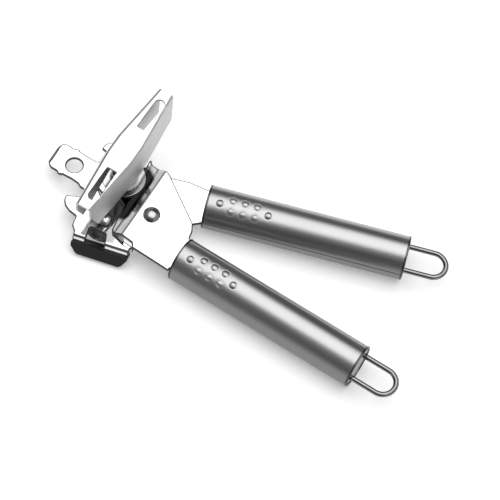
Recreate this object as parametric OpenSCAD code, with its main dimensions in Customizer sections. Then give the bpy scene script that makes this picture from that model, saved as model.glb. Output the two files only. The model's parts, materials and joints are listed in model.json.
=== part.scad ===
// Manual can opener: two levers crossing on a rivet, a butterfly turning key that
// drives a serrated feed wheel, a free cutting wheel, and two steel tube handles.
// Millimetres, +Z up, lying flat as it does on a table. The two handles open
// towards +X, and the bottle opener tab points towards -X.

/* [Whole tool] */
// angle between the two handles as it lies
jaw_angle = 18.3; // [14:0.1:24]
// height of the handle axes above the table
axis_z = 11; // [9:0.5:14]
// where the pivot rivet stands along the length
pivot_x = -40.875; // [-60:0.005:0]
// where the pivot rivet stands across the width
pivot_y = -5.835; // [-30:0.005:30]
// thickness of both lever plates
plate_t = 1.8; // [1.2:0.1:2.5]

/* [Handles] */
// length of each handle tube
tube_len = 100; // [80:1:120]
// outside radius of a handle tube
tube_r = 10.75; // [8:0.05:14]
// wall of a handle tube
tube_wall = 0.8; // [0.5:0.1:1.5]
// radius of the rolled lip at both ends of a tube
lip_r = 11; // [8:0.05:14]
// length of the rolled lip
lip_len = 1; // [0.5:0.1:2]
// front end of the upper handle, from the rivet along the length
upper_x = 21; // [15:0.1:30]
// front end of the upper handle, from the rivet across the width
upper_y = 18.1; // [10:0.1:30]
// front end of the lower handle, from the rivet along the length
lower_x = 21.3; // [15:0.1:30]
// front end of the lower handle, from the rivet across the width
lower_y = -13.5; // [-30:0.1:-10]
// how far a plate's tang runs into its tube
tang_len = 34; // [20:1:60]
// radius of a grip dot on the tube's skin
dot_r = 1.7; // [1:0.1:3]
// height of a grip dot
dot_h = 0.55; // [0.2:0.05:1]
// spacing of the grip dots along the tube
dot_step = 6; // [4:0.05:10]
// half the spacing of the two rows of dots
dot_side = 2.8; // [2:0.1:5]
// first dot, from the front end of the tube
dot_start = 6.7; // [4:0.1:20]
// how far round the tube the dots sit from its top, on the right-hand side
dot_turn = 12.5; // [0:0.5:30]

/* [Hanging loops] */
// radius of the loop's wire
wire_r = 1.35; // [0.8:0.05:2]
// distance between the wire's two legs, centre to centre
loop_w = 13.2; // [8:0.1:16]
// how far a loop stands out of its handle
loop_out = 21; // [12:0.5:35]

/* [Turning key] */
// length of the key
key_len = 75; // [60:1:90]
// width of the key in the middle
key_w = 14.4; // [10:0.2:20]
// width of the key at its ends
key_end_w = 8.4; // [6:0.2:14]
// depth of the key's side flanges
key_depth = 22; // [12:0.5:22.5]
// sheet thickness of the key
key_t = 1.2; // [0.8:0.1:2]
// top face of the key above the handle axes
key_rise = 30; // [24:0.5:36]
// direction the key's length points, from the +X axis
key_turn = 83.25; // [0:0.25:180]
// width of the two slots in the key's face
slot_w = 5.2; // [3:0.2:8]
// how far the slots sit to the side of the key's middle line
slot_side = 0.9; // [0:0.1:2]
// near end of a key slot, from the key's centre
slot_in = 13.2; // [8:0.2:20]
// far end of a key slot, from the key's centre
slot_out = 32.2; // [20:0.2:36]

/* [Feed side] */
// shaft position from the rivet along the length
shaft_x = -21.2; // [-30:0.1:-15]
// shaft position from the rivet across the width
shaft_y = 14.2; // [8:0.1:20]
// radius of the shaft where it turns in the bush
journal_r = 2.95; // [2:0.05:4]
// bore radius of the bush
bush_bore_r = 3; // [2:0.05:4]
// outside radius of the bush
bush_r = 5; // [4:0.1:7]
// outside radius of the feed wheel
feed_r = 8; // [6:0.1:10]
// thickness of the feed wheel
feed_t = 3.2; // [2:0.1:5]
// number of teeth on the feed wheel
feed_teeth = 26; // [16:1:40]

/* [Cutting side] */
// cutter axle from the rivet along the length
cutter_x = -20.5; // [-30:0.1:-15]
// cutter axle from the rivet across the width
cutter_y = -9; // [-14:0.1:-6]
// outside radius of the cutting wheel
cutter_r = 9.5; // [7:0.1:12]
// thickness of the cutting wheel
cutter_t = 1.5; // [1:0.1:3]
// radius of the cutter axle where the wheel turns
cutter_pin_r = 3; // [2:0.05:4]

/* [Bottle opener tab] */
// radius of the round hole in the tab
tab_hole_r = 4; // [3:0.1:5]
// tab hole from the rivet along the length
tab_hole_x = -46.5; // [-52:0.1:-42]
// tab hole from the rivet across the width
tab_hole_y = 11.5; // [8:0.1:14]

/* [Magnet holder] */
// length of the bent flange that carries the magnet holder
bracket_len = 28.4; // [20:0.2:36]
// how far the flange is bent down
bracket_bend = 60; // [45:1:90]
// inside radius of the bend
bend_r = 0.6; // [0.4:0.1:2]

/* [Hidden] */
$fn = 64;
running = 0.05;
top_z = axis_z + 4.4;            // upper face of the drive lever
step_down = 3.4;                 // how far its front part steps down
floor_z = top_z - step_down;     // upper face of that front part
cut_top = floor_z - plate_t - 0.3; // upper face of the cutter lever
cut_bot = cut_top - plate_t;
key_top = axis_z + key_rise;
key_bot = key_top - key_depth;
tube_in = tube_r - tube_wall;
upper_turn = jaw_angle / 2;
lower_turn = -jaw_angle / 2;
fold_turn = 83.55;               // direction of the step's fold lines
step_w = 4.4;                    // width of the sloping step
rivet_r = 3;
rivet_head_r = 4.15;
washer_t = 0.5;
feed_top = cut_bot - 0.9;        // upper face of the feed wheel
feed_bot = feed_top - feed_t;
cutter_top = feed_bot - 0.3;
cutter_bot = cutter_top - cutter_t;
shaft_dist = norm([shaft_x, shaft_y]);
shaft_dir = atan2(shaft_y, shaft_x);
bracket_x = -2.7;                // east end of the bent flange
bracket_y = -18.6;
bracket_turn = 185.65;
steel = [0.78, 0.78, 0.8];
bright = [0.88, 0.88, 0.9];
black = [0.1, 0.1, 0.11];

// ---- frames -----------------------------------------------------------------

// everything is drawn from the rivet and set down in the tool's own frame
module at_pivot() {
  translate([pivot_x, pivot_y, 0]) children();
}

// along the upper handle: +X runs from its front end to its rear end
module at_upper() {
  at_pivot() translate([upper_x, upper_y, axis_z]) rotate([0, 0, upper_turn]) children();
}

// along the lower handle
module at_lower() {
  at_pivot() translate([lower_x, lower_y, axis_z]) rotate([0, 0, lower_turn]) children();
}

module at_shaft() {
  at_pivot() translate([shaft_x, shaft_y, 0]) children();
}

module at_cutter() {
  at_pivot() translate([cutter_x, cutter_y, 0]) children();
}

// along the key: +X is the key's length
module at_key() {
  at_shaft() rotate([0, 0, key_turn]) children();
}

// along the bent flange: +X runs west along it, +Y points outwards
module at_bracket() {
  at_pivot() translate([bracket_x, bracket_y, 0]) rotate([0, 0, bracket_turn]) children();
}

// in the sloping part of the flange: X is its thickness, -Y runs down the
// slope and Z runs along the flange
module on_slope() {
  at_bracket() translate([0, 0, cut_top - bend_r - plate_t])
    rotate([90, 0, 90]) rotate([0, 0, 90 - bracket_bend]) children();
}

// a ring standing on z0
module ring(outer, inner, z0, height) {
  difference() {
    translate([0, 0, z0]) cylinder(r = outer, h = height);
    translate([0, 0, z0 - 1]) cylinder(r = inner, h = height + 2);
  }
}

// a low dome of radius r and height h standing on z0
module dome(r, h, z0) {
  ball = (r * r + h * h) / (2 * h);
  intersection() {
    translate([0, 0, z0 + h - ball]) sphere(r = ball, $fn = 96);
    translate([0, 0, z0]) cylinder(r = r, h = h + 1);
  }
}

// ---- cutter lever -----------------------------------------------------------

// points turned by an angle and moved to an origin
function placed(points, turn, origin) = [
  for (p = points) [origin[0] + p[0] * cos(turn) - p[1] * sin(turn),
                    origin[1] + p[0] * sin(turn) + p[1] * cos(turn)]
];

// points along an arc about a centre
function arc(centre, r, from, to, steps) = [
  for (i = [0:steps]) let (a = from + (to - from) * i / steps)
    [centre[0] + r * cos(a), centre[1] + r * sin(a)]
];

// the part of a lever that runs into its tube, half_w to each side at the front
function tang(half_w) = [
  [-0.1, half_w], [14, half_w], [18, 6.5], [tang_len, 6.5],
  [tang_len, -6.5], [18, -6.5], [14, -half_w], [-0.1, -half_w]
];

// the bent flange seen from above: a full-width strip, then a narrower tongue
flange = [
  [0, 0], [0, 3.3], [4.5, 4.4], [4.5, 9], [bracket_len - 5, 9],
  [bracket_len - 5, 4.4], [bracket_len, 3.3], [bracket_len, 0]
];

// cutter lever seen from above, from the rivet: edge beside the rivet, bent flange,
// hook, bottle opener tab and the tang in the upper handle
cutter_edge = concat(
  [[10.5, 0.5], [8, -6], [1, -15.2]],
  placed(flange, bracket_turn, [bracket_x, bracket_y]),
  [[-33.4, -18.5], [-33.7, -13.6],
   [-38, -12.4], [-41, -10.5], [-42.7, -8], [-43, -5.6], [-42.3, -4.6], [-40.6, -4.4],
   [-38.6, -3.4], [-38.6, 1.6], [-40.6, 3.1], [-44.2, 4],
   [-49.6, 4.5], [-51, 3.8], [-52, 4.1], [-53, 5], [-56.4, 5.5], [-57.6, 6.3],
   [-59.1, 8.6], [-58.4, 17.6], [-57.4, 19.6], [-55.4, 20.6], [-53.3, 20.6], [-51.4, 20],
   [-50.2, 20], [-49.2, 20.9], [-48.2, 20.7], [-47.2, 19.8],
   [-42.7, 18.9], [-38.1, 18.2], [-34, 19.2], [-29, 23.5], [-22, 25.6],
   [-1.7, 25.6], [8.1, 27.6], [19.3, 27.4]],
  placed(tang(9.2), upper_turn, [upper_x, upper_y])
);

// the curved slot that the shaft's bush travels along as the handles move
slot_half = bush_r + 0.6;
slot_from = shaft_dir - 8.6;
slot_to = shaft_dir + jaw_angle + 0.5;
travel_slot = concat(
  arc([0, 0], shaft_dist + slot_half, slot_from, slot_to, 20),
  arc([shaft_dist * cos(slot_to), shaft_dist * sin(slot_to)], slot_half,
      slot_to + 9, slot_to + 171, 18),
  arc([0, 0], shaft_dist - slot_half, slot_to, slot_from, 20),
  arc([shaft_dist * cos(slot_from), shaft_dist * sin(slot_from)], slot_half,
      slot_from + 189, slot_from + 351, 18)
);

module cutter_outline() {
  difference() {
    polygon(cutter_edge);
    polygon(travel_slot);
    translate([-38.3, -0.9]) circle(r = 2.6);
    translate([tab_hole_x, tab_hole_y]) circle(r = tab_hole_r);
    circle(r = rivet_r);
    translate([cutter_x, cutter_y]) circle(r = 2.5);
    translate([bracket_x, bracket_y]) rotate([0, 0, bracket_turn]) edge_window();
  }
}

// the window in the edge that leaves room for the cutting wheel
module edge_window() {
  polygon([[12.2, 3.1], [13.6, -3.6], [21, -4.9], [21.8, -4.2], [21.8, 3.1]]);
}

// end view of the sheet: flat, bent down round the flange's edge, then sloping
module bent_sheet() {
  centre = [0, cut_top - plate_t - bend_r];
  last = 90 - bracket_bend;
  outwards = [cos(last), sin(last)];
  end = centre + 6.4 * [sin(last), -cos(last)];
  polygon(concat(
    [[-60, cut_top]],
    arc(centre, bend_r + plate_t, 90, last, 10),
    [end + (bend_r + plate_t) * outwards, end + bend_r * outwards],
    arc(centre, bend_r, last, 90, 10),
    [[-60, cut_bot]]
  ));
}

// the whole cutter lever sheet, cut to its outline
module cutter_sheet() {
  intersection() {
    at_bracket() translate([-80, 0, 0]) rotate([90, 0, 90]) linear_extrude(height = 160)
      bent_sheet();
    at_pivot() linear_extrude(height = 20) cutter_outline();
  }
}

module cutter_lever_plate() {
  color(bright) cutter_sheet();
}

module pivot_rivet() {
  color(steel) at_pivot() {
    translate([0, 0, cut_bot - washer_t]) cylinder(r = rivet_r, h = top_z - cut_bot + washer_t + running);
    dome(rivet_head_r, 2.3, top_z + running);
    translate([0, 0, cut_bot - washer_t - 1.6]) cylinder(r = rivet_head_r, h = 1.6);
  }
}

module pivot_spacer() {
  color(steel) at_pivot()
    ring(5.8, rivet_r, cut_top, top_z - plate_t - cut_top - running);
}

module pivot_washer() {
  color(steel) at_pivot() ring(6, rivet_r, cut_bot - washer_t, washer_t);
}

// shouldered stud that holds the cutting wheel under the plate
module cutter_axle() {
  color(steel) at_cutter() {
    translate([0, 0, cutter_bot - running]) cylinder(r = cutter_pin_r - running, h = cutter_t + 2 * running);
    translate([0, 0, cutter_top + running]) cylinder(r = 2.5, h = cut_top - cutter_top - running);
    dome(3.5, 1.6, cut_top);
    translate([0, 0, cutter_bot - running - 1.5]) cylinder(r = 4.5, h = 1.5);
  }
}

module cutter_spacer() {
  color(steel) at_cutter() ring(4.5, 2.5, cutter_top + running, cut_bot - cutter_top - running);
}

// disc with a bevelled cutting edge
module cutting_wheel() {
  color(bright) at_cutter() rotate_extrude()
    polygon([[cutter_pin_r, cutter_bot], [cutter_r - 1.9, cutter_bot],
             [cutter_r, cutter_top - 0.25], [cutter_r, cutter_top], [cutter_pin_r, cutter_top]]);
}

// black holder wrapped around the flange, with tapered ends and round corners
module magnet_holder() {
  color(black) difference() {
    intersection() {
      on_slope() translate([-2.2, 0, 0]) rotate([0, 90, 0]) linear_extrude(height = 6.1)
        polygon([[0, -2.1], [0.2, -3.6], [-2, -7.5], [-3.4, -8.5], [-24.2, -8.5],
                 [-25.4, -7.9], [-28.3, -4.6], [-28.3, -2.1]]);
      at_bracket() translate([-1, -5, 0.3]) cube([bracket_len + 2, 20, 12]);
    }
    cutter_sheet();
    on_slope() translate([-2.3, -6.2, 6]) cube([2.1, 3.6, 16]);
  }
}

module magnet() {
  color(steel) on_slope() translate([-2.2, -6.2, 6]) cube([2, 3.6, 16]);
}

// ---- drive lever ------------------------------------------------------------

// drive lever seen from above, from the rivet: edge over the rivet, the tang in the
// lower handle, then the lower front part round the shaft
drive_edge = concat(
  [[-6, 25.9], [-3.1, 25.2], [-1.3, 24.1], [17.1, 6.9], [19.8, 4.3],
   [21.3, 0.5], [21.6, -3.6]],
  placed(tang(8.6), lower_turn, [lower_x, lower_y]),
  [[19.6, -23.3], [19.2, -23.9], [12, -22.5], [-1.1, -20.1],
   [-2.4, -17.6], [-8.45, -16.1], [-13.6, -15.2], [-14.6, -13.5], [-15, 0.5],
   [-17.5, 2.4], [-27.5, 2.4], [-31, 4.4], [-33.5, 8], [-34.3, 23.8], [-38.1, 24.8],
   [-37.5, 27.6], [-36.2, 29.6], [-34.6, 30.2], [-20, 30.2], [-18, 24.4], [-14.2, 24.4],
   [-14.2, 29.2], [-13.3, 29.4], [-12, 27.4]]
);

module drive_outline() {
  difference() {
    polygon(drive_edge);
    circle(r = rivet_r + running);
    translate([shaft_x, shaft_y]) circle(r = bush_r);
  }
}

// end view of the sheet: two flat levels joined by a sloping step
module stepped_sheet() {
  slip = plate_t * tan(atan(step_down / step_w) / 2);
  polygon([
    [-80, top_z], [0, top_z], [step_w, floor_z], [60, floor_z],
    [60, floor_z - plate_t], [step_w - slip, floor_z - plate_t],
    [-slip, top_z - plate_t], [-80, top_z - plate_t]
  ]);
}

// lip turned down at the corner beside the step, reaching down to the cutter lever
module corner_lip() {
  at_pivot() translate([0, 0, floor_z - plate_t]) linear_extrude(height = step_down + plate_t - 0.5)
    polygon([[-7.4, -16.25], [-2.33, -17.45], [-0.95, -20], [0.5, -20.2], [-1, -16.2], [-7, -14.7]]);
}

module drive_lever_plate() {
  color(bright) {
    intersection() {
      at_pivot() translate([-8.45, -16.1, 0]) rotate([0, 0, fold_turn]) translate([-40, 0, 0])
        rotate([90, 0, 90]) linear_extrude(height = 120) stepped_sheet();
      at_pivot() linear_extrude(height = 20) drive_outline();
    }
    corner_lip();
  }
}

module shaft_bush() {
  color(steel) at_shaft() {
    ring(bush_r, bush_bore_r, cut_bot - 0.3, floor_z + 1 - cut_bot + 0.3);
    ring(7, bush_bore_r, floor_z + 1, 1.6);
  }
}

module thrust_washer() {
  color(bright) at_shaft() ring(10.6, bush_r, floor_z, 1);
}

// ---- turning key ------------------------------------------------------------

// half width of the key along its length
function key_half(inset) = [
  [-key_len / 2, key_end_w / 2 - inset], [-5, key_w / 2 - inset],
  [5, key_w / 2 - inset], [key_len / 2, key_end_w / 2 - inset]
];

module key_outline(inset, over) {
  half = key_half(inset);
  polygon(concat(
    [[-key_len / 2 - over, half[0][1]]], half, [[key_len / 2 + over, half[3][1]]],
    [[key_len / 2 + over, -half[3][1]]],
    [for (i = [3:-1:0]) [half[i][0], -half[i][1]]],
    [[-key_len / 2 - over, -half[0][1]]]
  ));
}

// slot with a square inner end and a rounded outer end
module key_slot() {
  translate([0, -slot_side]) {
    translate([slot_in, -slot_w / 2]) square([slot_out - slot_in - slot_w / 2, slot_w]);
    translate([slot_out - slot_w / 2, 0]) circle(r = slot_w / 2);
  }
}

module turning_key() {
  color(bright) at_key() difference() {
    translate([0, 0, key_bot]) linear_extrude(height = key_depth) key_outline(0, 0);
    translate([0, 0, key_bot - 1]) linear_extrude(height = key_depth - key_t + 1)
      key_outline(key_t, 2);
    translate([0, 0, key_top - 3]) linear_extrude(height = 6) {
      key_slot();
      mirror([1, 0]) key_slot();
      square([5, 5], center = true);
    }
    // the near end of both side flanges is cut back at a slant
    translate([-key_len / 2, -20, key_bot]) rotate([-90, 0, 0]) linear_extrude(height = 40)
      polygon([[-1, 1], [6.3, 1], [6.3, 0], [0, -15], [-1, -15]]);
  }
}

module drive_shaft() {
  color(steel) at_key() {
    translate([-2.5, -2.5, key_top - key_t]) cube([5, 5, key_t]);
    translate([0, 0, floor_z + 2.6 + running]) cylinder(r = 4, h = key_top - key_t - floor_z - 2.6 - running);
    translate([0, 0, feed_top]) cylinder(r = journal_r, h = floor_z + 2.6 + running - feed_top);
    translate([-2, -2, feed_bot]) cube([4, 4, feed_t]);
    translate([0, 0, feed_bot - 1.5]) cylinder(r = 4, h = 1.5);
  }
}

module shaft_collar() {
  color(steel) at_shaft() ring(5.8, 4, floor_z + 3.4, 4);
}

module spring_washer() {
  color(steel) at_shaft() ring(6.2, 4, floor_z + 2.6 + running, 0.8 - running);
}

module feed_washer() {
  color(steel) at_shaft() ring(7, journal_r, feed_top, 0.55);
}

// wheel with vee notches cut round its edge
module feed_wheel() {
  color(steel) at_key() translate([0, 0, feed_bot]) linear_extrude(height = feed_t)
    difference() {
      circle(r = feed_r);
      square([4, 4], center = true);
      for (i = [0:feed_teeth - 1]) rotate([0, 0, i * 360 / feed_teeth])
        translate([feed_r, 0]) polygon([[0.3, -0.75], [-1.05, 0], [0.3, 0.75]]);
    }
}

// ---- handles ----------------------------------------------------------------

// round tube with a rolled lip at each end and eight raised grip dots on top
module handle_tube() {
  ball = (dot_r * dot_r + dot_h * dot_h) / (2 * dot_h);
  color(steel) difference() {
    union() {
      rotate([0, 90, 0]) cylinder(r = tube_r, h = tube_len, $fn = 96);
      for (x = [0, tube_len - lip_len])
        translate([x, 0, 0]) rotate([0, 90, 0]) cylinder(r = lip_r, h = lip_len, $fn = 96);
      for (i = [0:4]) {
        rows = (i == 0 || i == 4) ? [0] : [-1, 1];
        for (s = rows)
          translate([dot_start + i * dot_step, 0, 0])
            rotate([dot_turn - s * asin(dot_side / tube_r), 0, 0])
              translate([0, 0, tube_r + dot_h - ball]) sphere(r = ball, $fn = 48);
      }
    }
    translate([-1, 0, 0]) rotate([0, 90, 0]) cylinder(r = tube_in, h = tube_len + 2, $fn = 96);
  }
}

// plug inside the front of a tube, slotted for the plate's tang at height z
module front_plug(half_w, z) {
  color(black) difference() {
    translate([0.6, 0, 0]) rotate([0, 90, 0]) cylinder(r = tube_in - running, h = 11, $fn = 96);
    translate([-1, -half_w - 0.1, z]) cube([14, 2 * half_w + 0.2, plate_t]);
  }
}

// cap closing the rear of a tube, with two holes for the loop's wire
module end_cap() {
  color(steel) difference() {
    translate([tube_len - 6.4, 0, 0]) rotate([0, 90, 0])
      cylinder(r = tube_in - running, h = 6, $fn = 96);
    for (s = [-1, 1])
      translate([tube_len - 8, s * loop_w / 2, 0]) rotate([0, 90, 0])
        cylinder(r = wire_r + running, h = 10);
  }
}

// wire bent to a loop, with both legs held in the cap
module hanging_loop() {
  reach = tube_len + loop_out - loop_w / 2 - wire_r;
  start = tube_len - 10;
  color(steel) {
    for (s = [-1, 1])
      translate([start, s * loop_w / 2, 0]) rotate([0, 90, 0])
        cylinder(r = wire_r, h = reach - start);
    translate([reach, 0, 0]) rotate([0, 0, -90]) rotate_extrude(angle = 180)
      translate([loop_w / 2, 0]) circle(r = wire_r);
  }
}

module upper_handle_tube() {
  at_upper() handle_tube();
}

module upper_front_plug() {
  at_upper() front_plug(9.2, cut_bot - axis_z);
}

module upper_end_cap() {
  at_upper() end_cap();
}

module upper_hanging_loop() {
  at_upper() hanging_loop();
}

module lower_handle_tube() {
  at_lower() handle_tube();
}

module lower_front_plug() {
  at_lower() front_plug(8.6, top_z - plate_t - axis_z);
}

module lower_end_cap() {
  at_lower() end_cap();
}

module lower_hanging_loop() {
  at_lower() hanging_loop();
}

// ---- nodes ------------------------------------------------------------------

cutter_lever_plate();
pivot_rivet();
pivot_spacer();
pivot_washer();
cutter_axle();
cutter_spacer();
cutting_wheel();
magnet_holder();
magnet();
upper_handle_tube();
upper_front_plug();
upper_end_cap();
upper_hanging_loop();
drive_lever_plate();
shaft_bush();
thrust_washer();
lower_handle_tube();
lower_front_plug();
lower_end_cap();
lower_hanging_loop();
turning_key();
drive_shaft();
shaft_collar();
spring_washer();
feed_washer();
feed_wheel();
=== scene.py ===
"""Looks of the manual can opener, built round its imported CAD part."""

import json
import math

import bmesh
import bpy
from mathutils import Matrix, Vector
from mathutils.geometry import tessellate_polygon


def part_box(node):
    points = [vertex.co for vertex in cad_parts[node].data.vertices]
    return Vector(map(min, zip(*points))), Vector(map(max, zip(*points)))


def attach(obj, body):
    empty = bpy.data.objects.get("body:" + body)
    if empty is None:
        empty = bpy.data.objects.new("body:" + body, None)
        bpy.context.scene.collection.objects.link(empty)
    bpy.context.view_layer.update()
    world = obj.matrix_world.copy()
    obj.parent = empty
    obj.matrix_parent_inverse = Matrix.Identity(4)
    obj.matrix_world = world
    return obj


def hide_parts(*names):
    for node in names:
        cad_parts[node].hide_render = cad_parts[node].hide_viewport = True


# The sizes of pieces are in millimetres, and MM scales them where Blender needs metres.
# The table, the lamps, the camera and the depth of surface grain are in metres.
MM = 0.001
HANDLE_TURN = 9.15  # degrees each handle is turned from the tool's length
KEY_TURN = 83.25  # degrees the key is turned from the tool's length
TUBE_LEN = 100.0
TUBE_R = 10.75
TUBE_IN = 9.95  # inside radius

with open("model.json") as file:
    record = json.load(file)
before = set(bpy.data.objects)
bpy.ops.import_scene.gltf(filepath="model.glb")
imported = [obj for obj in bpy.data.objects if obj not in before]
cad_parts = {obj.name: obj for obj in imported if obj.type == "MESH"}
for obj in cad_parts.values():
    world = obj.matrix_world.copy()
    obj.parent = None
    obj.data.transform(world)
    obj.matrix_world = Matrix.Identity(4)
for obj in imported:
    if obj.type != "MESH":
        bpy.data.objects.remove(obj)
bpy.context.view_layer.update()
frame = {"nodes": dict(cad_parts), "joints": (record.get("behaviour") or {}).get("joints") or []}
joint_at = {j["name"]: Vector(j["pos_m"]) for j in frame["joints"]}
PIVOT = joint_at["handle_pivot"].xy / MM
SHAFT = joint_at["key_turn"].xy / MM
CUTTER = joint_at["cutter_spin"].xy / MM


def heights(node):
    """Lowest and highest z of a CAD node, in millimetres."""
    lo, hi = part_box(node)
    return lo.z / MM, hi.z / MM


def middle(node):
    """Centre of a CAD node's box, in millimetres."""
    lo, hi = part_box(node)
    return (lo + hi) / 2 / MM


# ---- materials --------------------------------------------------------------


class Nodes:
    """A node tree under construction, with short helpers for what repeats."""

    def __init__(self, tree):
        self.tree = tree

    def node(self, kind, **settings):
        """A new node with its sockets or properties set."""
        made = self.tree.nodes.new(kind)
        for key, value in settings.items():
            if key in made.inputs:
                made.inputs[key].default_value = value
            else:
                setattr(made, key, value)
        return made

    def link(self, source, target):
        """Feeds an input from an output."""
        self.tree.links.new(source, target)

    def coordinates(self, source):
        """A place, as the kind of coordinate that source names."""
        return self.node("ShaderNodeTexCoord").outputs[source]

    def parts(self, vector):
        """The X, Y and Z of a vector."""
        split = self.node("ShaderNodeSeparateXYZ")
        self.link(vector, split.inputs[0])
        return split.outputs

    def compute(self, operation, *values):
        """A math node fed by sockets or plain numbers."""
        made = self.node("ShaderNodeMath", operation=operation)
        for value, socket in zip(values, made.inputs):
            if isinstance(value, float):
                socket.default_value = value
            else:
                self.link(value, socket)
        return made.outputs[0]

    def length(self, vector):
        """The length of a vector."""
        made = self.node("ShaderNodeVectorMath", operation="LENGTH")
        self.link(vector, made.inputs[0])
        return made.outputs["Value"]

    def mapped(self, where, **settings):
        """A vector scaled, then turned and moved."""
        made = self.node("ShaderNodeMapping", **settings)
        self.link(where, made.inputs[0])
        return made.outputs[0]

    def spread(self, value, low, high, start=0.3, end=0.7, kind="LINEAR"):
        """value from start..end brought to low..high."""
        made = self.node("ShaderNodeMapRange", interpolation_type=kind)
        for key, number in (("From Min", start), ("From Max", end), ("To Min", low), ("To Max", high)):
            made.inputs[key].default_value = number
        self.link(value, made.inputs["Value"])
        return made.outputs["Result"]


class Shader(Nodes):
    """A node material under construction."""

    def __init__(self, name):
        self.material = bpy.data.materials.new(name)
        self.material.use_nodes = True
        super().__init__(self.material.node_tree)
        self.surface = self.tree.nodes["Principled BSDF"]

    def set(self, **values):
        """Fixed values on the shader's own sockets, named with _ for a space."""
        for key, value in values.items():
            self.surface.inputs[key.replace("_", " ")].default_value = value

    def position(self, scale, turn=0.0, around=None, source="Object"):
        """A place on the piece stretched by scale, after turning it back by turn degrees.
        around gives a centre, and then X is the distance from it."""
        where = self.coordinates(source)
        if turn:
            where = self.mapped(where, Rotation=(0, 0, math.radians(-turn)))
        if around is not None:
            x, y, z = self.parts(self.mapped(where, Location=(-around[0] * MM, -around[1] * MM, 0)))
            flat = self.node("ShaderNodeCombineXYZ")
            self.link(x, flat.inputs[0])
            self.link(y, flat.inputs[1])
            joined = self.node("ShaderNodeCombineXYZ")
            self.link(self.length(flat.outputs[0]), joined.inputs[0])
            self.link(z, joined.inputs[2])
            where = joined.outputs[0]
        return self.mapped(where, Scale=scale)

    def noise(self, where, detail=3.0, roughness=0.5):
        """Grey noise whose lumps are about one unit wide in where."""
        made = self.node("ShaderNodeTexNoise", Scale=1.0, Detail=detail, Roughness=roughness)
        self.link(where, made.inputs["Vector"])
        return made.outputs["Fac"]

    def tint(self, value, dark, light):
        """A colour between dark and light by value."""
        made = self.node("ShaderNodeMix", data_type="RGBA")
        made.inputs[6].default_value = (*dark, 1)
        made.inputs[7].default_value = (*light, 1)
        self.link(value, made.inputs[0])
        return made.outputs[2]

    def average(self, a, b, share):
        """a with a share of b."""
        made = self.node("ShaderNodeMix")
        made.inputs[0].default_value = share
        self.link(a, made.inputs[2])
        self.link(b, made.inputs[3])
        return made.outputs[0]

    def darkened(self, colour, share):
        """colour times share."""
        made = self.node("ShaderNodeVectorMath", operation="SCALE")
        self.link(colour, made.inputs[0])
        self.link(share, made.inputs["Scale"])
        return made.outputs[0]

    def bump(self, height, strength, distance):
        """Fine relief: distance is how deep height goes, in metres."""
        made = self.node("ShaderNodeBump", Strength=strength, Distance=distance)
        self.link(height, made.inputs["Height"])
        self.link(made.outputs[0], self.surface.inputs["Normal"])

    def finish(self, pattern, dark, light, rough):
        """Colour and roughness that follow one pattern."""
        self.link(self.tint(self.spread(pattern, 0, 1), dark, light), self.surface.inputs["Base Color"])
        self.link(self.spread(pattern, *rough), self.surface.inputs["Roughness"])


BRIGHT_TURN = math.radians(25)  # how far round from its top the lit side of the tubes' painted shade is turned


def painted_underside_shade(s):
    """Painted shade: 1 on the lit side of a tube, falling to 0.5 underneath, which darkens the colour
    there.
    """
    around = s.parts(s.coordinates("UV"))[1]
    angle = s.compute("MULTIPLY_ADD", around, 1 / (TUBE_R * MM), -BRIGHT_TURN)
    return s.spread(s.compute("COSINE", angle), 0.5, 1, 0.09, 0.42)


def brushed_metal(name, dark, light, rough, anisotropic):
    """Tube steel brushed along its length, laid out by the tube's own UV map in metres. The
    colour goes from dark to light and is darkened underneath as painted shade; rough is the lowest and
    highest roughness."""
    s = Shader(name)
    s.set(Metallic=1.0, Anisotropic=anisotropic)
    fine = s.noise(s.position((14, 5200, 1), source="UV"), detail=2)
    wide = s.noise(s.position((5, 620, 1), source="UV"), detail=4, roughness=0.6)
    cloud = s.noise(s.position((45, 45, 45)), detail=3)
    lines = s.average(fine, wide, 0.5)
    tone = s.average(lines, cloud, 0.25)
    colour = s.tint(s.spread(tone, 0, 1), dark, light)
    # the base colour is darkened on the tube's underside: painted shade
    s.link(s.darkened(colour, painted_underside_shade(s)), s.surface.inputs["Base Color"])
    s.link(s.spread(lines, *rough), s.surface.inputs["Roughness"])
    along = s.node("ShaderNodeTangent", direction_type="UV_MAP")
    s.link(along.outputs[0], s.surface.inputs["Tangent"])
    s.bump(lines, 0.1, 0.00002)
    return s.material


def turned_metal(name, dark, light, rough, around, pitch=0.25, strength=0.15):
    """Steel with fine rings left by turning, pitch millimetres apart, about a centre.
    strength is how deep the rings look."""
    s = Shader(name)
    s.set(Metallic=1.0)
    rings = s.noise(s.position((1 / (pitch * MM), 1, 0.4 / (pitch * MM)), around=around), detail=2)
    cloud = s.noise(s.position((350, 350, 350)), detail=4)
    s.finish(s.average(rings, cloud, 0.4), dark, light, rough)
    s.bump(rings, strength, 0.00002)
    return s.material


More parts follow.
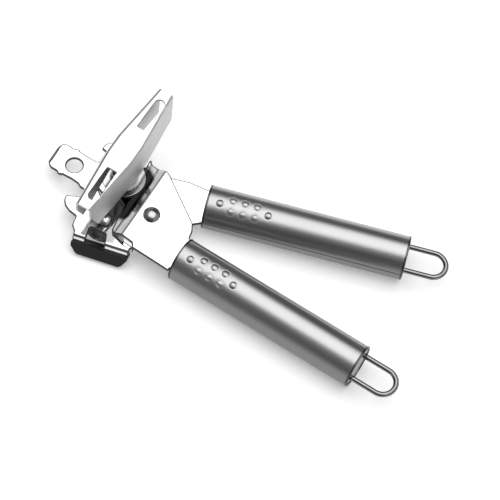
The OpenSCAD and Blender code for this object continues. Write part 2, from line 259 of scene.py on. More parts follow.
def polished_metal(name, dark, light, rough, turn=0.0, painted_shade=False, satin_sides=0.0):
    """Mirror-polished sheet: faint haze, hair scratches along turn and a slight waviness.
    painted_shade adds painted shade and a painted dark reflection round the feed shaft,
    below the lever's step, and satin_sides is the extra roughness of the upright faces."""
    s = Shader(name)
    s.set(Metallic=1.0)
    haze = s.noise(s.position((90, 90, 90)), detail=5, roughness=0.6)
    hair = s.noise(s.position((70, 2600, 2600), turn=turn), detail=3, roughness=0.7)
    sheet = s.noise(s.position((38, 38, 38)), detail=1)
    both = s.average(haze, hair, 0.35)
    tone = s.tint(s.spread(both, 0, 1), dark, light)
    # painted shade and painted dark reflection round the feed shaft, under the key
    if painted_shade:
        tone = paint_shade_round_shaft(s, tone, haze)
    s.link(tone, s.surface.inputs["Base Color"])
    dullness = s.spread(both, *rough)
    if satin_sides:
        up = s.compute("ABSOLUTE", s.parts(s.node("ShaderNodeNewGeometry").outputs["Normal"])[2])
        dullness = s.compute("ADD", dullness, s.spread(up, satin_sides, 0, 0.1, 0.7))
    s.link(dullness, s.surface.inputs["Roughness"])
    s.bump(s.average(sheet, hair, 0.04), 0.03, 0.0012)
    return s.material


SHADE_AT = PIVOT + Vector((-14, 9))  # middle of the oval of painted shade
SHADE_HALF = Vector((9, 16.5))  # its half width and half length
# colour of the painted shade and dark reflection round the feed shaft
SHADE_COLOUR = (0.03, 0.03, 0.031, 1)


def paint_shade_round_shaft(s, tone, haze):
    """Painted shade and painted dark reflection: darkens tone in an oval round the feed shaft, on the
    lowered level only.
    """
    place = s.coordinates("Object")
    oval = s.mapped(place, Location=(-SHADE_AT.x / SHADE_HALF.x, -SHADE_AT.y / SHADE_HALF.y, 0),
                    Scale=(1 / (SHADE_HALF.x * MM), 1 / (SHADE_HALF.y * MM), 0))
    ragged = s.average(s.length(oval), haze, 0.12)
    level = heights("thrust_washer")[0]
    low = s.spread(s.parts(place)[2], 1, 0, (level + 0.8) * MM, (level + 1.6) * MM)
    inside = s.spread(ragged, 1, 0, 0.86, 0.98)
    mixed = s.node("ShaderNodeMix", data_type="RGBA")
    s.link(s.compute("MULTIPLY", low, inside), mixed.inputs[0])
    s.link(tone, mixed.inputs[6])
    mixed.inputs[7].default_value = SHADE_COLOUR
    return mixed.outputs[2]


def cut_metal(name, dark, light):
    """The stamped, unpolished edge of a sheet, coloured very dark as painted shade and painted
    reflection along the plates' outlines.
    """
    s = Shader(name)
    s.set(Metallic=1.0)
    tear = s.noise(s.position((900, 900, 3500)), detail=4, roughness=0.7)
    s.finish(tear, dark, light, (0.3, 0.5))
    s.bump(tear, 0.3, 0.00004)
    return s.material


def moulded_plastic(name, dark, light, rough):
    """Black plastic with the fine grain of its mould."""
    s = Shader(name)
    s.set(Specular_IOR_Level=0.3)
    grain = s.noise(s.position((3200, 3200, 3200)), detail=2)
    cloud = s.noise(s.position((160, 160, 160)), detail=4)
    s.finish(s.average(grain, cloud, 0.5), dark, light, rough)
    s.bump(grain, 0.2, 0.00003)
    return s.material


def grey(value):
    """A very slightly cool grey."""
    return (value, value, value * 1.01)


brushed = brushed_metal("brushed_steel", grey(0.37), grey(0.47), (0.36, 0.47), 0.62)
polished = polished_metal("polished_steel", grey(0.70), grey(0.78), (0.05, 0.11))
lip_steel = brushed_metal("lip_steel", grey(0.10), grey(0.16), (0.25, 0.35), 0.4)
# the lowered sheet gets painted shade and dark reflection round the feed shaft
stepped_steel = polished_metal("stepped_steel", grey(0.70), grey(0.78), (0.05, 0.11), painted_shade=True)
# the very dark edge colour paints the shade and dark reflection that outline the plates
cut_edge = cut_metal("cut_edge", grey(0.09), grey(0.15))
key_steel = polished_metal("key_steel", grey(0.50), grey(0.58), (0.22, 0.30), KEY_TURN,
                           satin_sides=0.22)
rivet_steel = turned_metal("rivet_steel", grey(0.30), grey(0.40), (0.16, 0.26), PIVOT)
shaft_steel = turned_metal("shaft_steel", grey(0.30), grey(0.45), (0.2, 0.34), SHAFT, strength=0.3)
washer_steel = turned_metal("washer_steel", grey(0.40), grey(0.50), (0.12, 0.22), SHAFT)
cutter_steel = turned_metal("cutter_steel", grey(0.5), grey(0.64), (0.16, 0.28), CUTTER, strength=0.3)
chrome = turned_metal("chrome_wire", grey(0.17), grey(0.25), (0.08, 0.16), (0, 0), 0.4, 0.05)
cap_steel = turned_metal("cap_steel", grey(0.22), grey(0.30), (0.22, 0.34), (0, 0), 0.5, 0.1)
plastic = moulded_plastic("black_plastic", (0.006,) * 3, (0.012,) * 3, (0.38, 0.52))
magnet_grey = moulded_plastic("magnet", (0.05,) * 3, (0.09,) * 3, (0.3, 0.5))


# ---- mesh helpers -----------------------------------------------------------

ROUND_STEPS = 72  # sides of a turned piece
CORNER_STEPS = 4  # straight steps round a corner of an outline
EDGE_STEPS = 3  # steps of a sheet's rounded edge
FULL_TURN = 2 * math.pi


def paint(obj, material):
    """Gives the whole piece one material."""
    obj.data.materials.clear()
    obj.data.materials.append(material)


def soften(node, material, width, clamp=True):
    """A CAD node keeps its shape and gets rounded edges and a finish."""
    obj = frame["nodes"][node]
    paint(obj, material)
    obj.modifiers.new("weld", "WELD").merge_threshold = 1e-6
    flat = obj.modifiers.new("flat", "DECIMATE")
    flat.decimate_type = "DISSOLVE"
    flat.angle_limit = math.radians(0.3)
    round_off = obj.modifiers.new("round", "BEVEL")
    round_off.width = width * MM
    round_off.segments = 3
    round_off.use_clamp_overlap = clamp
    round_off.limit_method = "ANGLE"
    round_off.angle_limit = math.radians(32)
    obj.data.shade_smooth()
    obj.modifiers.new("normals", "WEIGHTED_NORMAL").keep_sharp = True


def add_piece(name, bm, origin, turn, body, materials, nodes, sharp=35):
    """Sets a mesh drawn in millimetres at origin, turned about Z, in place of CAD nodes.
    Edges folded by more than sharp degrees stay crisp."""
    bmesh.ops.remove_doubles(bm, verts=bm.verts, dist=1e-5)
    bmesh.ops.recalc_face_normals(bm, faces=bm.faces)
    at = Matrix.Translation(Vector(origin) * MM) @ Matrix.Rotation(math.radians(turn), 4, "Z")
    bmesh.ops.transform(bm, matrix=at @ Matrix.Scale(MM, 4), verts=bm.verts)
    mesh = bpy.data.meshes.new(name)
    bm.to_mesh(mesh)
    bm.free()
    mesh.shade_smooth()
    mesh.set_sharp_from_angle(angle=math.radians(sharp))
    for material in materials:
        mesh.materials.append(material)
    obj = bpy.data.objects.new(name, mesh)
    bpy.context.scene.collection.objects.link(obj)
    obj.modifiers.new("normals", "WEIGHTED_NORMAL").keep_sharp = True
    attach(obj, body)
    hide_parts(*nodes)


def skin(bm, rings, ends=True, closed_path=False):
    """Faces between successive rings of points, with flat ends or back to the first ring."""
    rows = [[bm.verts.new(p) for p in ring] for ring in rings]
    count = len(rows[0])
    steps = len(rows) if closed_path else len(rows) - 1
    for i in range(steps):
        a, b = rows[i], rows[(i + 1) % len(rows)]
        for k in range(count):
            bm.faces.new((a[k], a[(k + 1) % count], b[(k + 1) % count], b[k]))
    if ends and not closed_path:
        bm.faces.new(rows[0])
        bm.faces.new(rows[-1])
    return rows


def circle(radius):
    """Points round a circle, starting on the first axis."""
    turns = [FULL_TURN * k / ROUND_STEPS for k in range(ROUND_STEPS)]
    return [(radius * math.cos(a), radius * math.sin(a)) for a in turns]


def lathe(profile):
    """A solid of revolution about Z from a closed profile of (radius, z) points."""
    bm = bmesh.new()
    skin(bm, [[(x, y, z) for x, y in circle(r)] for r, z in profile], closed_path=True)
    return bm


def rounded(points, radius):
    """Points of a closed outline with each corner rounded, as far as its edges allow. The
    radius is one number, or one for each corner."""
    made = []
    count = len(points)
    radii = radius if isinstance(radius, (list, tuple)) else [radius] * count
    for i, p in enumerate(points):
        p, before, after = Vector(p), Vector(points[i - 1]), Vector(points[(i + 1) % count])
        to_a, to_b = before - p, after - p
        turn = to_a.angle(to_b)
        if radii[i] <= 0 or abs(math.pi - turn) < 0.02:
            made.append(p)
            continue
        cut = radii[i] / math.tan(turn / 2)
        cut = min(cut, 0.48 * to_a.length, 0.48 * to_b.length)
        r = cut * math.tan(turn / 2)
        bisector = (to_a.normalized() + to_b.normalized()).normalized()
        centre = p + bisector * (r / math.sin(turn / 2))
        first, last = p + to_a.normalized() * cut - centre, p + to_b.normalized() * cut - centre
        sweep = math.pi - turn
        side = 1 if first.cross(last) > 0 else -1
        for k in range(CORNER_STEPS + 1):
            angle = side * sweep * k / CORNER_STEPS
            c, s = math.cos(angle), math.sin(angle)
            made.append(centre + Vector((c * first.x - s * first.y, s * first.x + c * first.y)))
    return made


# ---- handles ----------------------------------------------------------------

LIP_R = 10.995
LIP_LEN = 1.05  # the part of each end that is finished as a lip
# the rolled lip at each end of a tube, as (distance from the end, radius)
LIP = [(0.35, 10.02), (0.1, 10.2), (0, 10.45), (0.06, 10.72), (0.22, 10.92), (0.5, LIP_R),
       (0.78, 10.92), (0.96, 10.8), (1.1, TUBE_R)]
END_LEN = 2.0  # the bore and the plain skin keep this far from the tube's ends
WIRE_R = 1.35
LOOP_W = 13.2  # width of the wire loop between the middles of its legs
LOOP_OUT = 20.995  # how far the loop stands out behind the tube
WIRE_SUNK = 6.0  # how far its legs reach into the end cap
LEG_STEPS, LOOP_STEPS, WIRE_SIDES = 12, 36, 28
DISC_R = 9.88
DISC_SUNK = 0.45  # how far the disc sits inside the tube's rear end
DISC_DEEP = 5.5

DOT_R = 1.7
DOT_H = 0.55
DOT_FOOT = 1.4  # outer edge of the pressed ring, as a share of the dot's radius
DOT_SINK = 0.07
DOT_REACH = DOT_R * DOT_FOOT + 0.2
DOT_ROWS = 5
DOT_STEP = 6.0
DOT_SIDE = 2.8  # from the middle line to either dot of a pair
DOT_START = 6.7  # from the tube's front end to the first dot
DOT_TURN = math.radians(-12.5)
DOTS_HALF = math.radians(29)  # half of the strip round the tube that holds the dots
DOT_ANGLES, PLAIN_ANGLES = 56, 90  # steps across that strip, and round the rest
# places along the tube are this far apart before the dots, at them and behind them
BARE_STEP, FINE_STEP, PLAIN_STEP = 0.9, 0.25, 6.0

SEAM_TURN = {"upper": math.radians(-80), "lower": math.radians(39)}
SEAM_HALF = 0.26
SEAM_DEEP = 0.25
SEAM_BESIDE = 0.4  # the last of the seam's own points, from its middle
SEAM_CLEAR = 0.045  # radians on both sides of the seam without other points


def dots():
    """Centres of the grip dots as (along, angle about the tube from its top): pairs, with
    a single dot at each end."""
    across = math.asin(DOT_SIDE / TUBE_R)
    places = []
    for i in range(DOT_ROWS):
        sides = (0,) if i in (0, DOT_ROWS - 1) else (-1, 1)
        places += [(DOT_START + i * DOT_STEP, DOT_TURN + s * across) for s in sides]
    return places


DOTS = dots()


def dot_rise(x, angle):
    """Height of the grip dots at a place on the tube's skin: a low dome in a pressed ring."""
    for along, turn in DOTS:
        d = math.hypot(x - along, (angle - turn) * TUBE_R) / DOT_R
        if d < 1:
            return DOT_H * (1 - d * d) ** 0.8
        if d < DOT_FOOT:
            return -DOT_SINK * math.sin(math.pi * (d - 1) / (DOT_FOOT - 1))
    return 0.0


def tube_place(which):
    """Where a tube's front end sits, and its turn from the tool's length in degrees."""
    centre = middle(which + "_handle_tube")
    centre.z = middle(which + "_end_cap").z
    turn = HANDLE_TURN if which == "upper" else -HANDLE_TURN
    away = Vector((math.cos(math.radians(turn)), math.sin(math.radians(turn)), 0))
    return centre - away * TUBE_LEN / 2, turn


def tube_profile():
    """(along, radius) round a tube's wall: its skin from front to rear, then back inside."""
    profile = list(LIP)
    x = 1.6
    while x < DOT_START + (DOT_ROWS - 1) * DOT_STEP + DOT_REACH:
        profile.append((x, TUBE_R))
        x += FINE_STEP if x > DOT_START - DOT_REACH - 0.6 else BARE_STEP
    while x < TUBE_LEN - END_LEN:
        profile.append((x, TUBE_R))
        x += PLAIN_STEP
    profile += [(TUBE_LEN - d, r) for d, r in reversed(LIP)]
    return profile + [(TUBE_LEN - END_LEN, TUBE_IN), (TUBE_LEN / 2, TUBE_IN), (END_LEN, TUBE_IN)]


def tube_angles(seam):
    """Angles about a tube from its top, close together at the dots and at the seam."""
    angles = [DOT_TURN - DOTS_HALF + 2 * DOTS_HALF * k / DOT_ANGLES for k in range(DOT_ANGLES + 1)]
    rest = FULL_TURN - 2 * DOTS_HALF
    angles += [DOT_TURN + DOTS_HALF + rest * k / PLAIN_ANGLES for k in range(1, PLAIN_ANGLES)]
    angles = [a for a in angles if abs(a % FULL_TURN - seam) > SEAM_CLEAR]
    beside = (SEAM_HALF / 2, SEAM_HALF, SEAM_BESIDE)
    angles += [seam] + [seam + side * d / TUBE_R for d in beside for side in (-1, 1)]
    return sorted(a % FULL_TURN for a in angles)


def on_lip(x):
    """Whether a place along a tube is on the rolled lip of either end."""
    return x < LIP_LEN or x > TUBE_LEN - LIP_LEN


def wall_radius(x, r, angle, seam):
    """Radius of a tube's wall at a place, with the dots and the seam pressed into its skin."""
    if r <= TUBE_IN or on_lip(x):
        return r
    signed = angle if angle < math.pi else angle - FULL_TURN
    rise = dot_rise(x, signed) if abs(signed - DOT_TURN) < DOTS_HALF else 0
    groove = SEAM_DEEP * max(0, 1 - abs(angle - seam) * TUBE_R / SEAM_HALF)
    return r + rise - groove


def lay_out_tube(bm, rows, profile, angles):
    """A UV map in metres along the wall and around it, and the lips' own material."""
    lay = bm.loops.layers.uv.new("along_and_around")
    index = {v: (i, k) for i, row in enumerate(rows) for k, v in enumerate(row)}
    walk = [0.0]
    for (x0, r0), (x1, r1) in zip(profile, profile[1:]):
        walk.append(walk[-1] + math.hypot(x1 - x0, r1 - r0))
    for face in bm.faces:
        wraps = max(index[v][1] for v in face.verts) == len(angles) - 1
        for loop in face.loops:
            i, k = index[loop.vert]
            a = angles[k] + (FULL_TURN if wraps and k == 0 else 0)
            loop[lay].uv = (walk[i] * MM, a * TUBE_R * MM)
        face.material_index = int(on_lip(face.calc_center_median().x))


def tube_piece(which, body, origin, turn):
    """Rolled tube with a lip at each end, pressed grip dots and a seam along it."""
    seam = SEAM_TURN[which] % FULL_TURN
    profile = tube_profile()
    angles = tube_angles(seam)
    rings = []
    for x, r in profile:
        reach = [wall_radius(x, r, a, seam) for a in angles]
        rings.append([(x, d * math.sin(a), d * math.cos(a)) for d, a in zip(reach, angles)])
    bm = bmesh.new()
    rows = skin(bm, rings, closed_path=True)
    lay_out_tube(bm, rows, profile, angles)
    add_piece(which + "_handle_shell", bm, origin, turn, body, [brushed, lip_steel],
              [which + "_handle_tube"], sharp=50)


def loop_piece(which, body, origin, turn):
    """Chromed wire bent to a loop, its legs standing in the end cap."""
    half = LOOP_W / 2
    reach = TUBE_LEN + LOOP_OUT - half - WIRE_R
    start = TUBE_LEN - WIRE_SUNK
    leg = reach - start
    turns = [math.pi * k / LOOP_STEPS for k in range(1, LOOP_STEPS)]
    path = [Vector((start + leg * k / LEG_STEPS, half, 0)) for k in range(LEG_STEPS + 1)]
    path += [Vector((reach + half * math.sin(a), half * math.cos(a), 0)) for a in turns]
    path += [Vector((reach - leg * k / LEG_STEPS, -half, 0)) for k in range(LEG_STEPS + 1)]
    bm = bmesh.new()
    rings = []
    for i, p in enumerate(path):
        ahead = path[min(i + 1, len(path) - 1)] - path[max(i - 1, 0)]
        side = Vector((-ahead.y, ahead.x, 0)).normalized()
        rings.append([p + WIRE_R * (math.cos(a) * side + math.sin(a) * Vector((0, 0, 1)))
                      for a in (FULL_TURN * k / WIRE_SIDES for k in range(WIRE_SIDES))])
    skin(bm, rings)
    add_piece(which + "_loop_wire", bm, origin, turn, body, [chrome],
              [which + "_hanging_loop"])


def cap_piece(which, body, origin, turn):
    """Domed disc that closes the rear of a tube."""
    back = TUBE_LEN - DISC_SUNK
    profile = [(4.0, back), (8.4, back - 0.02), (9.3, back - 0.15), (9.7, back - 0.45),
               (DISC_R, back - 0.9), (DISC_R, back - DISC_DEEP)]
    bm = bmesh.new()
    skin(bm, [[(x, y, z) for z, y in circle(r)] for r, x in profile])
    add_piece(which + "_rear_disc", bm, origin, turn, body, [cap_steel],
              [which + "_end_cap"])


for which, body in (("upper", "cutter_lever"), ("lower", "drive_lever")):
    origin, turn = tube_place(which)
    tube_piece(which, body, origin, turn)
    loop_piece(which, body, origin, turn)
    cap_piece(which, body, origin, turn)
    soften(which + "_front_plug", plastic, 0.3)

# ---- turning key ------------------------------------------------------------

KEY_LEN = 75.0
KEY_T = 1.2
KEY_HALF = 7.2  # half width in the middle
KEY_TAPER = 3.0  # how much less that is at the ends
KEY_STRAIGHT = 5.0  # half length of the part that doesn't taper
FACE_HALF = 4.2  # half width of the face in the unfolded sheet
FOLD_R = 2.0
FOLD_MEAN = FOLD_R - KEY_T / 2  # radius of the fold's middle layer
FOLD_LEN = FOLD_MEAN * math.pi / 2
WING_CUT = (6.3, 15.0)  # the slanted corner of a wing: along its lower edge and up its end
WING_ROUND = 1.4  # rounding of the wings' corners
KEY_EDGE, SQUARE_EDGE = 0.22, 0.03  # rounding of the key's edges and of its square hole's
SLOT_R = 2.6
SLOT_SIDE = 0.9  # how far the slots sit beside the middle line
SLOT_NEAR, SLOT_FAR = 13.2, 32.2  # the slots' ends, from the shaft
SQUARE_HALF = 2.5  # half width of the shaft's square hole
FOLD_STEPS = 8
KEY_CUTS = (-5.6, -4.4, 4.4, 5.6, -32.5, 32.5, 0, -20, 20)  # where the taper may bend the sheet


def key_half(x):
    """Half width of the key at x along it: widest in the middle, tapering to its ends."""
    along = max(0.0, (abs(x) - KEY_STRAIGHT) / (KEY_LEN / 2 - KEY_STRAIGHT))
    return KEY_HALF - KEY_TAPER * along


def sheet_solid(loops, thickness, edges, rim=0):
    """Flat sheet from closed outlines, the first one outside and the others holes, with
    the rounding of each outline's edge in edges. Z runs from minus to plus half the
    thickness. The edges take the rim's material, the two faces the first one."""
    turned = []
    for i, loop in enumerate(loops):
        pts = [Vector(p) for p in loop]
        area = sum(a.cross(b) for a, b in zip(pts, pts[1:] + pts[:1]))
        turned.append(pts if (area > 0) == (i == 0) else pts[::-1])
    half = thickness / 2
    angles = [math.pi / 2 * k / EDGE_STEPS for k in range(EDGE_STEPS + 1)]
    bm = bmesh.new()
    caps = ([], [])
    for pts, edge in zip(turned, edges):
        layers = [(edge * (1 - math.sin(a)), half - edge * (1 - math.cos(a))) for a in angles]
        layers += [(inset, -z) for inset, z in reversed(layers)]
        count = len(pts)
        outward = []
        for i, p in enumerate(pts):
            d1 = (p - pts[i - 1]).normalized()
            d2 = (pts[(i + 1) % count] - p).normalized()
            n1, n2 = Vector((d1.y, -d1.x)), Vector((d2.y, -d2.x))
            outward.append((n1 + n2) / max(0.5, 1 + n1.dot(n2)))
        rings = [[(p.x - n.x * inset, p.y - n.y * inset, z) for p, n in zip(pts, outward)]
                 for inset, z in layers]
        rows = skin(bm, rings, ends=False)
        caps[0].append(rows[0])
        caps[1].append(rows[-1])
    for face in bm.faces:
        face.material_index = rim
    for cap in caps:
        flat = [v for ring in cap for v in ring]
        for tri in tessellate_polygon([[v.co.copy() for v in ring] for ring in cap]):
            if len({flat[k] for k in tri}) == 3:
                try:
                    bm.faces.new([flat[k] for k in tri])
                except ValueError:
                    pass  # these three points already have a face
    return bm


def slice_across(bm, point, normal):
    """Adds edges where a plane crosses the mesh, so that it can bend there."""
    parts = list(bm.verts) + list(bm.edges) + list(bm.faces)
    bmesh.ops.bisect_plane(bm, geom=parts, dist=1e-5, plane_co=point, plane_no=normal)


def unfolded(x, y):
    """The place in the unfolded sheet of a point on the key's face."""
    return (x, y * FACE_HALF / (key_half(x) - FOLD_R))


def key_slot(side):
    """A long slot in the key's face, square towards the shaft and round at its far end."""
    arc = [(SLOT_FAR - SLOT_R + SLOT_R * math.sin(math.pi * k / 12),
            SLOT_R * math.cos(math.pi * k / 12) - SLOT_SIDE) for k in range(13)]
    square_end = [(SLOT_NEAR, -SLOT_R - SLOT_SIDE), (SLOT_NEAR, SLOT_R - SLOT_SIDE)]
    shape = rounded([Vector(p) for p in square_end + arc], [0.5, 0.5] + [0] * 13)
    return [unfolded(side * x, y) for x, y in shape]


def folded(place, hi):
    """The place in the key of a point of its unfolded sheet."""
    x, across, w = place
    side = 1 if across > 0 else -1
    across = abs(across)
    edge = key_half(x) - FOLD_R
    if across <= FACE_HALF:
        return (x, side * across * edge / FACE_HALF, hi - KEY_T / 2 + w)
    a = min((across - FACE_HALF) / FOLD_MEAN, math.pi / 2)
    down = max(0.0, across - FACE_HALF - FOLD_LEN)
    return (x, side * (edge + (FOLD_MEAN + w) * math.sin(a)),
            hi - FOLD_R + (FOLD_MEAN + w) * math.cos(a) - down)


def key_piece():
    """Butterfly key: a slotted face with both long sides folded down as wings."""
    lo, hi = heights("turning_key")
    deep = FACE_HALF + FOLD_LEN + (hi - lo - FOLD_R)
    end = KEY_LEN / 2
    along, up = WING_CUT
    outline = rounded([(end, deep), (-end + along, deep), (-end, deep - up),
                       (-end, -deep + up), (-end + along, -deep), (end, -deep)], WING_ROUND)
    q = SQUARE_HALF
    square = [unfolded(x, y) for x, y in ((-q, -q), (q, -q), (q, q), (-q, q))]
    bm = sheet_solid([outline, key_slot(-1), key_slot(1), square], KEY_T,
                     [KEY_EDGE, KEY_EDGE, KEY_EDGE, SQUARE_EDGE])
    for k in range(FOLD_STEPS + 1):
        for side in (-1, 1):
            slice_across(bm, (0, side * (FACE_HALF + FOLD_LEN * k / FOLD_STEPS), 0), (0, 1, 0))
    for x in KEY_CUTS:
        slice_across(bm, (x, 0, 0), (1, 0, 0))
    for v in bm.verts:
        v.co = folded(v.co, hi)
    add_piece("butterfly_key", bm, (*SHAFT, 0), KEY_TURN, "key_and_feed_wheel", [key_steel],
              ["turning_key"])


key_piece()

# ---- pivot rivet ------------------------------------------------------------

RIVET_R = 4.15
SHANK_R = 3.0
RIVET_AXIS = 0.01  # the profile stops just short of the rivet's own axis
DOME_STEPS = 16


def rivet_piece():
    """Pivot rivet with a shallow domed head over the plates and a flat one under them."""
    lo, hi = heights("pivot_rivet")
    top = heights("drive_lever_plate")[1]
    rim = top + 0.45  # where the dome starts
    ball = (RIVET_R * RIVET_R + (hi - rim) ** 2) / (2 * (hi - rim))
    edge = math.asin(RIVET_R / ball)
    turns = [edge * (1 - k / DOME_STEPS) for k in range(DOME_STEPS)]
    dome = [(ball * math.sin(a), hi - ball + ball * math.cos(a)) for a in turns]
    profile = [(SHANK_R, top + 0.05), (RIVET_R - 0.15, top + 0.05), (RIVET_R, top + 0.2)] + dome
    profile += [(RIVET_AXIS, hi), (RIVET_AXIS, lo), (3.7, lo), (4.05, lo + 0.1), (RIVET_R, lo + 0.4),
                (RIVET_R, lo + 1.5), (SHANK_R, lo + 1.6)]
    add_piece("pivot_rivet_head", lathe(profile), (*PIVOT, 0), 0, "cutter_lever",
              [rivet_steel], ["pivot_rivet"])


# ---- lever plates -----------------------------------------------------------

PLATE_T = 1.8
PLATE_EDGE = 0.7  # rounding of the plates' edges
PLATE_CORNER = 0.8  # rounding of the corners of their outlines


def turn_at(outline, i):
    """How far a closed outline turns at its point i."""
    p = outline[i]
    return (p - outline[i - 1]).angle(outline[(i + 1) % len(outline)] - p, 0)


def upper_outlines(node):
    """Plan outlines of the upper side of a sheet, taken from its CAD mesh: the outside
    first, then its holes. Points along a straight run are left out."""
    bm = bmesh.new()
    bm.from_mesh(frame["nodes"][node].data)
    bmesh.ops.scale(bm, vec=(1 / MM,) * 3, verts=bm.verts)
    bmesh.ops.remove_doubles(bm, verts=bm.verts, dist=1e-3)
    bm.normal_update()
    upper = [f for f in bm.faces if f.normal.z > 0.45]
    known = set(upper)
    ahead = {}
    for face in upper:
        for loop in face.loops:
            if not any(g in known and g is not face for g in loop.edge.link_faces):
                ahead[loop.vert] = loop.link_loop_next.vert
    outlines = []
    while ahead:
        vert = next(iter(ahead))
        walk = []
        while vert in ahead:
            walk.append(vert.co.xy)
            vert = ahead.pop(vert)
        outlines.append([p for i, p in enumerate(walk) if turn_at(walk, i) > math.radians(0.5)])
    bm.free()
    outlines.sort(key=lambda pts: -(max(p.x for p in pts) - min(p.x for p in pts)))
    return outlines


def join(bm, other):
    """Adds the faces of another mesh under construction."""
    holder = bpy.data.meshes.new("joined")
    other.to_mesh(holder)
    bm.from_mesh(holder)
    bpy.data.meshes.remove(holder)
    other.free()


# the cutter lever's edge is bent down along a line; these give that line, the
# direction along it and the direction outwards from the plate
BEND_R = 0.6
BEND_TURN = math.radians(60)
BEND_MID = BEND_R + PLATE_T / 2
BEND_OUTER = BEND_R + PLATE_T
BEND_LEN = BEND_MID * BEND_TURN
BEND_STEPS = 8
FLANGE_TURN = math.radians(185.65)
flange_along = Vector((math.cos(FLANGE_TURN), math.sin(FLANGE_TURN)))
flange_out = Vector((-flange_along.y, flange_along.x))
flange_start = PIVOT + Vector((-2.7, -18.6))

# the tab's far end, and the bevel on its upper side
TAB_END = PIVOT + Vector((-59.1, 8.6)), PIVOT + Vector((-58.4, 17.6))
TAB_BEVEL = 1.7
TAB_DROP = 0.8


def unbent(p):
    """A plan point of the upper side, laid flat: along the bend line and out from it."""
    along, out = (p - flange_start).dot(flange_along), (p - flange_start).dot(flange_out)
    edge = BEND_OUTER * math.sin(BEND_TURN)
    if out > edge:
        out = BEND_LEN + (out - edge) / math.cos(BEND_TURN)
    elif out > 0:
        out = BEND_MID * math.asin(out / BEND_OUTER)
    return Vector((along, out))


def bent(p, top):
    """The place in the tool of a point of the flat sheet."""
    along, out, w = p
    height = top - PLATE_T / 2 + w
    if out > 0:
        turn = min(out / BEND_MID, BEND_TURN)
        rest = max(0.0, out - BEND_LEN)
        height = top - BEND_OUTER + (BEND_MID + w) * math.cos(turn) - rest * math.sin(turn)
        out = (BEND_MID + w) * math.sin(turn) + rest * math.cos(turn)
    at = flange_start + along * flange_along + out * flange_out
    return Vector((at.x, at.y, height))


def eased(outline, radius):
    """An outline with its real corners rounded; the short steps of its curves stay."""
    turns = [turn_at(outline, i) for i in range(len(outline))]
    return rounded(outline, [radius if turn > math.radians(13) else 0 for turn in turns])


def plate_sheet(node):
    """The outlines of a plate with their corners eased."""
    return [eased(outline, PLATE_CORNER) for outline in upper_outlines(node)]


def cutter_lever_piece():
    """Cutter lever plate: one edge is bent down as the flange that carries the magnet
    holder, and the end of the bottle opener tab is bevelled."""
    hi = heights("cutter_lever_plate")[1]
    loops = [[unbent(p) for p in outline] for outline in plate_sheet("cutter_lever_plate")]
    bm = sheet_solid(loops, PLATE_T, [PLATE_EDGE] * len(loops), rim=1)
    for k in range(BEND_STEPS + 1):
        slice_across(bm, (0, BEND_LEN * k / BEND_STEPS, 0), (0, 1, 0))
    for v in bm.verts:
        v.co = bent(v.co, hi)
    end_a, end_b = TAB_END
    inward = Vector((end_b.y - end_a.y, end_a.x - end_b.x)).normalized()
    edge = end_a + inward * TAB_BEVEL
    slice_across(bm, (edge.x, edge.y, 0), (inward.x, inward.y, 0))
    for v in bm.verts:
        inside = (v.co.xy - end_a).dot(inward)
        if inside < TAB_BEVEL:
            v.co.z -= TAB_DROP * (1 - inside / TAB_BEVEL) * (v.co.z - hi + PLATE_T) / PLATE_T
    add_piece("cutter_lever_sheet", bm, (0, 0, 0), 0, "cutter_lever", [polished, cut_edge],
              ["cutter_lever_plate"])


# the drive lever steps down across a line; these give that line and the step
STEP_W = 4.4
STEP_DOWN = 3.4
STEP_TURN = math.radians(83.55)
STEP_SLIP = PLATE_T * math.tan(math.atan(STEP_DOWN / STEP_W) / 2)
STEP_EASE = 0.6
STEP_CUTS = [0.3 * k - 1.5 for k in range(24)]  # places across the step where the sheet bends
step_start = PIVOT + Vector((-8.45, -16.1))
step_across = Vector((-math.sin(STEP_TURN), math.cos(STEP_TURN)))

# plan of the small lip turned down at the corner beside the step, from the pivot
LIP_OUTLINE = ((-7.4, -16.25), (-2.33, -17.45), (-0.95, -20), (0.5, -20.2), (-1, -16.2), (-7, -14.7))


def stepped(u):
    """How far the sheet has come down at u across the step, with eased folds."""
    def bend(x):
        if abs(x) < STEP_EASE:
            return (x + STEP_EASE) ** 2 / (4 * STEP_EASE)
        return max(x, 0.0)
    return STEP_DOWN / STEP_W * (bend(u) - bend(u - STEP_W))


def corner_lip(hi):
    """The lip turned down beside the step, from inside the plate to the lowered underside."""
    low = hi - STEP_DOWN - PLATE_T
    high = hi - PLATE_T / 2
    outline = rounded([PIVOT + Vector(c) for c in LIP_OUTLINE], 0.4)
    bm = sheet_solid([outline], high - low, [0.3])
    for v in bm.verts:
        v.co.z += (low + high) / 2
    return bm


def drive_lever_piece():
    """Drive lever plate, which lies over the cutter lever and steps down where it carries
    the feed shaft."""
    hi = heights("drive_lever_plate")[1]
    loops = plate_sheet("drive_lever_plate")
    bm = sheet_solid(loops, PLATE_T, [PLATE_EDGE] * len(loops), rim=1)
    for u in STEP_CUTS:
        place = step_start + step_across * u
        slice_across(bm, (place.x, place.y, 0), (step_across.x, step_across.y, 0))
    for v in bm.verts:
        u = (v.co.xy - step_start).dot(step_across)
        share = v.co.z / PLATE_T + 0.5
        upper, lower = hi - stepped(u), hi - PLATE_T - stepped(u + STEP_SLIP)
        v.co.z = lower + (upper - lower) * share
    join(bm, corner_lip(hi))
    add_piece("drive_lever_sheet", bm, (0, 0, 0), 0, "drive_lever", [stepped_steel, cut_edge],
              ["drive_lever_plate"])


cutter_lever_piece()
drive_lever_piece()

# ---- small parts ------------------------------------------------------------

rivet_piece()
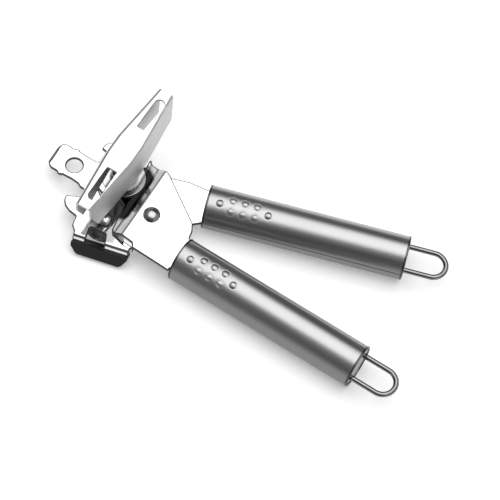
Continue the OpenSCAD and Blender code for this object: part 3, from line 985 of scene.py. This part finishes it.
# each CAD node with its finish and the width of its rounded edges in millimetres
for node, material, width in (
    ("pivot_spacer", rivet_steel, 0.15), ("pivot_washer", rivet_steel, 0.1),
    ("cutter_axle", cutter_steel, 0.04), ("cutter_spacer", cutter_steel, 0.15),
    ("cutting_wheel", cutter_steel, 0.05), ("shaft_bush", shaft_steel, 0.25),
    ("thrust_washer", washer_steel, 0.2), ("drive_shaft", key_steel, 0.03),
    ("shaft_collar", shaft_steel, 0.35), ("spring_washer", shaft_steel, 0.1),
    ("feed_washer", shaft_steel, 0.1), ("feed_wheel", shaft_steel, 0.1),
    ("magnet", magnet_grey, 0.2),
):
    soften(node, material, width)
soften("magnet_holder", plastic, 0.25, clamp=False)

# ---- table, light and camera ------------------------------------------------


def floor():
    """A white table top that glows a little, so that it comes out plain white."""
    bm = bmesh.new()
    bmesh.ops.create_grid(bm, x_segments=8, y_segments=8, size=6)
    mesh = bpy.data.meshes.new("table")
    bm.to_mesh(mesh)
    bm.free()
    obj = bpy.data.objects.new("table", mesh)
    bpy.context.scene.collection.objects.link(obj)
    s = Shader("table_white")
    s.set(Roughness=0.7, Specular_IOR_Level=0.1, Emission_Strength=0.28)
    s.surface.inputs["Emission Color"].default_value = (1, 1, 1, 1)
    speck = s.noise(s.position((40, 40, 40)), detail=2)
    s.link(s.tint(speck, (0.88,) * 3, (0.9,) * 3), s.surface.inputs["Base Color"])
    mesh.materials.append(s.material)


def soft_box(name, place, aim, size, power):
    """A rectangular lamp that faces a point."""
    data = bpy.data.lights.new(name, "AREA")
    data.shape = "RECTANGLE"
    data.size, data.size_y = size
    data.energy = power
    obj = bpy.data.objects.new(name, data)
    bpy.context.scene.collection.objects.link(obj)
    obj.location = place
    obj.rotation_euler = (Vector(aim) - Vector(place)).to_track_quat("-Z", "Y").to_euler()


DIM = (0.08, 0.08, 0.08, 1)
PALE = (0.75, 0.75, 0.75, 1)


def surroundings():
    """A dim studio: pale overhead and at both sides, dark in front, behind and in one corner."""
    world = bpy.data.worlds.new("studio")
    bpy.context.scene.world = world
    world.use_nodes = True
    s = Nodes(world.node_tree)
    x, y, z = s.parts(s.coordinates("Generated"))
    ceiling = s.node("ShaderNodeValToRGB")
    stops = ceiling.color_ramp.elements
    stops[0].color = DIM
    stops[1].color = PALE
    stops.new(0.7).color = DIM
    s.link(z, ceiling.inputs[0])
    walls = s.spread(s.compute("ABSOLUTE", x), 0, 0.45, 0.42, 0.72, kind="SMOOTHSTEP")
    open_side = s.spread(s.compute("SUBTRACT", y, x), 1, 0, 0.3, 0.8, kind="SMOOTHSTEP")
    lit = s.node("ShaderNodeVectorMath", operation="ADD")
    s.link(ceiling.outputs[0], lit.inputs[0])
    s.link(s.compute("MULTIPLY", walls, open_side), lit.inputs[1])
    s.link(lit.outputs[0], world.node_tree.nodes["Background"].inputs[0])


CAMERA_ELEVATION = 62.0
CAMERA_AZIMUTH = 14.48
CAMERA_ROLL = 9.94
# the distance and the point aimed at are in metres
CAMERA_DISTANCE = 0.9361
CAMERA_AIM = Vector((0.00881, -0.00053, 0.011))
CAMERA_LENS = 140.26  # focal length in millimetres


def camera():
    """The photo's view: from above and a little to one side, rolled so that the tool slopes."""
    data = bpy.data.cameras.new("camera")
    data.lens = CAMERA_LENS
    data.sensor_width = 36
    obj = bpy.data.objects.new("camera", data)
    bpy.context.scene.collection.objects.link(obj)
    a, e, roll = (math.radians(v) for v in (CAMERA_AZIMUTH, CAMERA_ELEVATION, CAMERA_ROLL))
    back = Vector((math.sin(a) * math.cos(e), -math.cos(a) * math.cos(e), math.sin(e)))
    right = Vector((math.cos(a), math.sin(a), 0))
    up = back.cross(right)
    side = right * math.cos(roll) + up * math.sin(roll)
    over = up * math.cos(roll) - right * math.sin(roll)
    turn = Matrix((side, over, back)).transposed().to_4x4()
    obj.matrix_world = Matrix.Translation(CAMERA_AIM + back * CAMERA_DISTANCE) @ turn
    bpy.context.scene.camera = obj


floor()
surroundings()
soft_box("overhead", (0.0, 0.24, 1.3), (0, 0, 0), (1.7, 1.6), 17)
soft_box("side_card", (-1.1, 0.7, 0.22), (-0.05, 0, 0.01), (0.8, 0.5), 0.55)
camera()
bpy.context.scene.view_settings.view_transform = "Standard"
